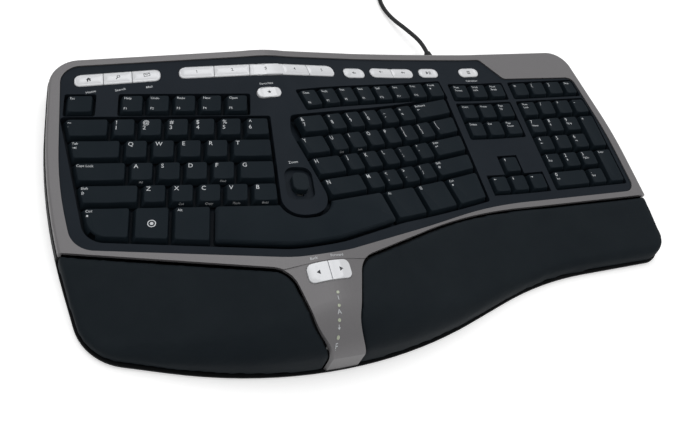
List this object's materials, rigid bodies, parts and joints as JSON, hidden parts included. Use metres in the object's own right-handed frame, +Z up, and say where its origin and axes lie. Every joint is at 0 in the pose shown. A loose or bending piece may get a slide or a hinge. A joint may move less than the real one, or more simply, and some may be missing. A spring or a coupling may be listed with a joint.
{
  "type": "ergonomic split keyboard",
  "caption": "Wired ergonomic keyboard: split key halves on a raised ridge, number pad, soft palm rest, media keys, zoom slider.",
  "frame": {"origin": "centre of the casing in plan, at the level of the surface that it stands on", "axes": "+X to the user's right, +Y away from the user, +Z up"},
  "size_m": [0.508, 0.4516, 0.0613],
  "materials": {
    "case_black": "fine texture",
    "bezel_grey": "satin metallic warm grey paint on plastic",
    "deck_black": "satin",
    "key_black": "matte with white printed legends",
    "knob_black": "satin",
    "palm_cover": "fine grained soft cover",
    "dome_rubber": "silicone",
    "contact_film": "printed film",
    "steel": "zinc plated",
    "plug_steel": "nickel plated",
    "board_green": "solder mask",
    "lamp_lens": "clear lens",
    "foot_rubber": "matt",
    "cord_rubber": "smooth jacket",
    "hot_key_silver": "satin silver paint with dark icons"
  },
  "bodies": {
    "base": {"bottom_case": "case_black", "top_case": "bezel_grey", "key_deck": "deck_black", "palm_rest_frame": "case_black", "palm_pad_left": "palm_cover", "palm_pad_right": "palm_cover", "dome_sheet": "dome_rubber", "contact_sheet": "contact_film", "backing_plate": "steel", "controller_board": "board_green", "switch_trays": "case_black", "indicator_board": "board_green", "indicator_lenses": "lamp_lens", "case_screws": "steel", "rubber_feet": "foot_rubber", "slider_housing": "deck_black", "strain_relief": "cord_rubber", "cable_run": "cord_rubber", "cable_coil": "cord_rubber", "usb_plug": "cord_rubber", "usb_shell": "plug_steel", "cable_tie": "cord_rubber"},
    "function_keys_left": {"function_keys_left": "key_black"},
    "number_keys_left": {"number_keys_left": "key_black"},
    "upper_keys_left": {"upper_keys_left": "key_black"},
    "home_keys_left": {"home_keys_left": "key_black"},
    "lower_keys_left": {"lower_keys_left": "key_black"},
    "modifier_keys_left": {"modifier_keys_left": "key_black"},
    "function_keys_right": {"function_keys_right": "key_black"},
    "number_keys_right": {"number_keys_right": "key_black"},
    "upper_keys_right": {"upper_keys_right": "key_black"},
    "home_keys_right": {"home_keys_right": "key_black"},
    "lower_keys_right": {"lower_keys_right": "key_black"},
    "modifier_keys_right": {"modifier_keys_right": "key_black"},
    "system_keys": {"system_keys": "key_black"},
    "navigation_keys": {"navigation_keys": "key_black"},
    "arrow_keys": {"arrow_keys": "key_black"},
    "number_pad_upper_keys": {"number_pad_upper_keys": "key_black"},
    "number_pad_lower_keys": {"number_pad_lower_keys": "key_black"},
    "number_pad_tall_keys": {"number_pad_tall_keys": "key_black"},
    "space_bar": {"space_bar": "key_black"},
    "home_page_key": {"home_page_key": "hot_key_silver"},
    "search_key": {"search_key": "hot_key_silver"},
    "mail_key": {"mail_key": "hot_key_silver"},
    "favourite_key_1": {"favourite_key_1": "hot_key_silver"},
    "favourite_key_2": {"favourite_key_2": "hot_key_silver"},
    "favourite_key_3": {"favourite_key_3": "hot_key_silver"},
    "favourite_key_4": {"favourite_key_4": "hot_key_silver"},
    "favourite_key_5": {"favourite_key_5": "hot_key_silver"},
    "favourites_key": {"favourites_key": "hot_key_silver"},
    "mute_key": {"mute_key": "hot_key_silver"},
    "volume_down_key": {"volume_down_key": "hot_key_silver"},
    "volume_up_key": {"volume_up_key": "hot_key_silver"},
    "play_pause_key": {"play_pause_key": "hot_key_silver"},
    "calculator_key": {"calculator_key": "hot_key_silver"},
    "back_key": {"back_key": "hot_key_silver"},
    "forward_key": {"forward_key": "hot_key_silver"},
    "zoom_slider": {"zoom_slider": "knob_black"},
    "left_leg": {"left_leg": "case_black"},
    "right_leg": {"right_leg": "case_black"}
  },
  "joints": [
    {"name": "function_keys_left_press", "type": "slide", "parent": "base", "child": "function_keys_left", "axis": [0, 0, -1], "range_m": [0, 0.0032], "stiffness_N_per_m": 960, "springref_m": -0.0015},
    {"name": "number_keys_left_press", "type": "slide", "parent": "base", "child": "number_keys_left", "axis": [0, 0, -1], "range_m": [0, 0.0032], "stiffness_N_per_m": 1120, "springref_m": -0.0015},
    {"name": "upper_keys_left_press", "type": "slide", "parent": "base", "child": "upper_keys_left", "axis": [0, 0, -1], "range_m": [0, 0.0032], "stiffness_N_per_m": 960, "springref_m": -0.0015},
    {"name": "home_keys_left_press", "type": "slide", "parent": "base", "child": "home_keys_left", "axis": [0, 0, -1], "range_m": [0, 0.0032], "stiffness_N_per_m": 960, "springref_m": -0.0015},
    {"name": "lower_keys_left_press", "type": "slide", "parent": "base", "child": "lower_keys_left", "axis": [0, 0, -1], "range_m": [0, 0.0032], "stiffness_N_per_m": 960, "springref_m": -0.0015},
    {"name": "modifier_keys_left_press", "type": "slide", "parent": "base", "child": "modifier_keys_left", "axis": [0, 0, -1], "range_m": [0, 0.0032], "stiffness_N_per_m": 480, "springref_m": -0.0015},
    {"name": "function_keys_right_press", "type": "slide", "parent": "base", "child": "function_keys_right", "axis": [0, 0, -1], "range_m": [0, 0.0032], "stiffness_N_per_m": 1280, "springref_m": -0.0015},
    {"name": "number_keys_right_press", "type": "slide", "parent": "base", "child": "number_keys_right", "axis": [0, 0, -1], "range_m": [0, 0.0032], "stiffness_N_per_m": 1120, "springref_m": -0.0015},
    {"name": "upper_keys_right_press", "type": "slide", "parent": "base", "child": "upper_keys_right", "axis": [0, 0, -1], "range_m": [0, 0.0032], "stiffness_N_per_m": 1280, "springref_m": -0.0015},
    {"name": "home_keys_right_press", "type": "slide", "parent": "base", "child": "home_keys_right", "axis": [0, 0, -1], "range_m": [0, 0.0032], "stiffness_N_per_m": 1120, "springref_m": -0.0015},
    {"name": "lower_keys_right_press", "type": "slide", "parent": "base", "child": "lower_keys_right", "axis": [0, 0, -1], "range_m": [0, 0.0032], "stiffness_N_per_m": 960, "springref_m": -0.0015},
    {"name": "modifier_keys_right_press", "type": "slide", "parent": "base", "child": "modifier_keys_right", "axis": [0, 0, -1], "range_m": [0, 0.0032], "stiffness_N_per_m": 480, "springref_m": -0.0015},
    {"name": "system_keys_press", "type": "slide", "parent": "base", "child": "system_keys", "axis": [0, 0, -1], "range_m": [0, 0.0032], "stiffness_N_per_m": 1120, "springref_m": -0.0015},
    {"name": "navigation_keys_press", "type": "slide", "parent": "base", "child": "navigation_keys", "axis": [0, 0, -1], "range_m": [0, 0.0032], "stiffness_N_per_m": 960, "springref_m": -0.0015},
    {"name": "arrow_keys_press", "type": "slide", "parent": "base", "child": "arrow_keys", "axis": [0, 0, -1], "range_m": [0, 0.0032], "stiffness_N_per_m": 640, "springref_m": -0.0015},
    {"name": "number_pad_upper_keys_press", "type": "slide", "parent": "base", "child": "number_pad_upper_keys", "axis": [0, 0, -1], "range_m": [0, 0.0032], "stiffness_N_per_m": 1120, "springref_m": -0.0015},
    {"name": "number_pad_lower_keys_press", "type": "slide", "parent": "base", "child": "number_pad_lower_keys", "axis": [0, 0, -1], "range_m": [0, 0.0032], "stiffness_N_per_m": 1280, "springref_m": -0.0015},
    {"name": "number_pad_tall_keys_press", "type": "slide", "parent": "base", "child": "number_pad_tall_keys", "axis": [0, 0, -1], "range_m": [0, 0.0032], "stiffness_N_per_m": 320, "springref_m": -0.0015},
    {"name": "space_bar_press", "type": "slide", "parent": "base", "child": "space_bar", "axis": [0, 0, -1], "range_m": [0, 0.0032], "stiffness_N_per_m": 320, "springref_m": -0.0015},
    {"name": "home_page_key_press", "type": "slide", "parent": "base", "child": "home_page_key", "axis": [0, 0, -1], "range_m": [0, 0.0009], "stiffness_N_per_m": 400, "springref_m": -0.0008},
    {"name": "search_key_press", "type": "slide", "parent": "base", "child": "search_key", "axis": [0, 0, -1], "range_m": [0, 0.0009], "stiffness_N_per_m": 400, "springref_m": -0.0008},
    {"name": "mail_key_press", "type": "slide", "parent": "base", "child": "mail_key", "axis": [0, 0, -1], "range_m": [0, 0.0009], "stiffness_N_per_m": 400, "springref_m": -0.0008},
    {"name": "favourite_key_1_press", "type": "slide", "parent": "base", "child": "favourite_key_1", "axis": [0, 0, -1], "range_m": [0, 0.0009], "stiffness_N_per_m": 400, "springref_m": -0.0008},
    {"name": "favourite_key_2_press", "type": "slide", "parent": "base", "child": "favourite_key_2", "axis": [0, 0, -1], "range_m": [0, 0.0009], "stiffness_N_per_m": 400, "springref_m": -0.0008},
    {"name": "favourite_key_3_press", "type": "slide", "parent": "base", "child": "favourite_key_3", "axis": [0, 0, -1], "range_m": [0, 0.0009], "stiffness_N_per_m": 400, "springref_m": -0.0008},
    {"name": "favourite_key_4_press", "type": "slide", "parent": "base", "child": "favourite_key_4", "axis": [0, 0, -1], "range_m": [0, 0.0009], "stiffness_N_per_m": 400, "springref_m": -0.0008},
    {"name": "favourite_key_5_press", "type": "slide", "parent": "base", "child": "favourite_key_5", "axis": [0, 0, -1], "range_m": [0, 0.0009], "stiffness_N_per_m": 400, "springref_m": -0.0008},
    {"name": "favourites_key_press", "type": "slide", "parent": "base", "child": "favourites_key", "axis": [0, 0, -1], "range_m": [0, 0.0009], "stiffness_N_per_m": 400, "springref_m": -0.0008},
    {"name": "mute_key_press", "type": "slide", "parent": "base", "child": "mute_key", "axis": [0, 0, -1], "range_m": [0, 0.0009], "stiffness_N_per_m": 400, "springref_m": -0.0008},
    {"name": "volume_down_key_press", "type": "slide", "parent": "base", "child": "volume_down_key", "axis": [0, 0, -1], "range_m": [0, 0.0009], "stiffness_N_per_m": 400, "springref_m": -0.0008},
    {"name": "volume_up_key_press", "type": "slide", "parent": "base", "child": "volume_up_key", "axis": [0, 0, -1], "range_m": [0, 0.0009], "stiffness_N_per_m": 400, "springref_m": -0.0008},
    {"name": "play_pause_key_press", "type": "slide", "parent": "base", "child": "play_pause_key", "axis": [0, 0, -1], "range_m": [0, 0.0009], "stiffness_N_per_m": 400, "springref_m": -0.0008},
    {"name": "calculator_key_press", "type": "slide", "parent": "base", "child": "calculator_key", "axis": [0, 0, -1], "range_m": [0, 0.0009], "stiffness_N_per_m": 400, "springref_m": -0.0008},
    {"name": "back_key_press", "type": "slide", "parent": "base", "child": "back_key", "axis": [0, 0, -1], "range_m": [0, 0.0009], "stiffness_N_per_m": 400, "springref_m": -0.0008},
    {"name": "forward_key_press", "type": "slide", "parent": "base", "child": "forward_key", "axis": [0, 0, -1], "range_m": [0, 0.0009], "stiffness_N_per_m": 400, "springref_m": -0.0008},
    {"name": "zoom_slide", "type": "slide", "parent": "base", "child": "zoom_slider", "axis": [0.1392, 0.9903, 0], "range_m": [-0.005, 0.005], "stiffness_N_per_m": 150},
    {"name": "left_leg_hinge", "type": "hinge", "parent": "base", "child": "left_leg", "pos_m": [-0.19002, 0.11136, 0.0035], "axis": [1, 0, 0], "range_deg": [0, 80]},
    {"name": "right_leg_hinge", "type": "hinge", "parent": "base", "child": "right_leg", "pos_m": [0.18998, 0.11136, 0.0035], "axis": [1, 0, 0], "range_deg": [0, 80]}
  ]
}
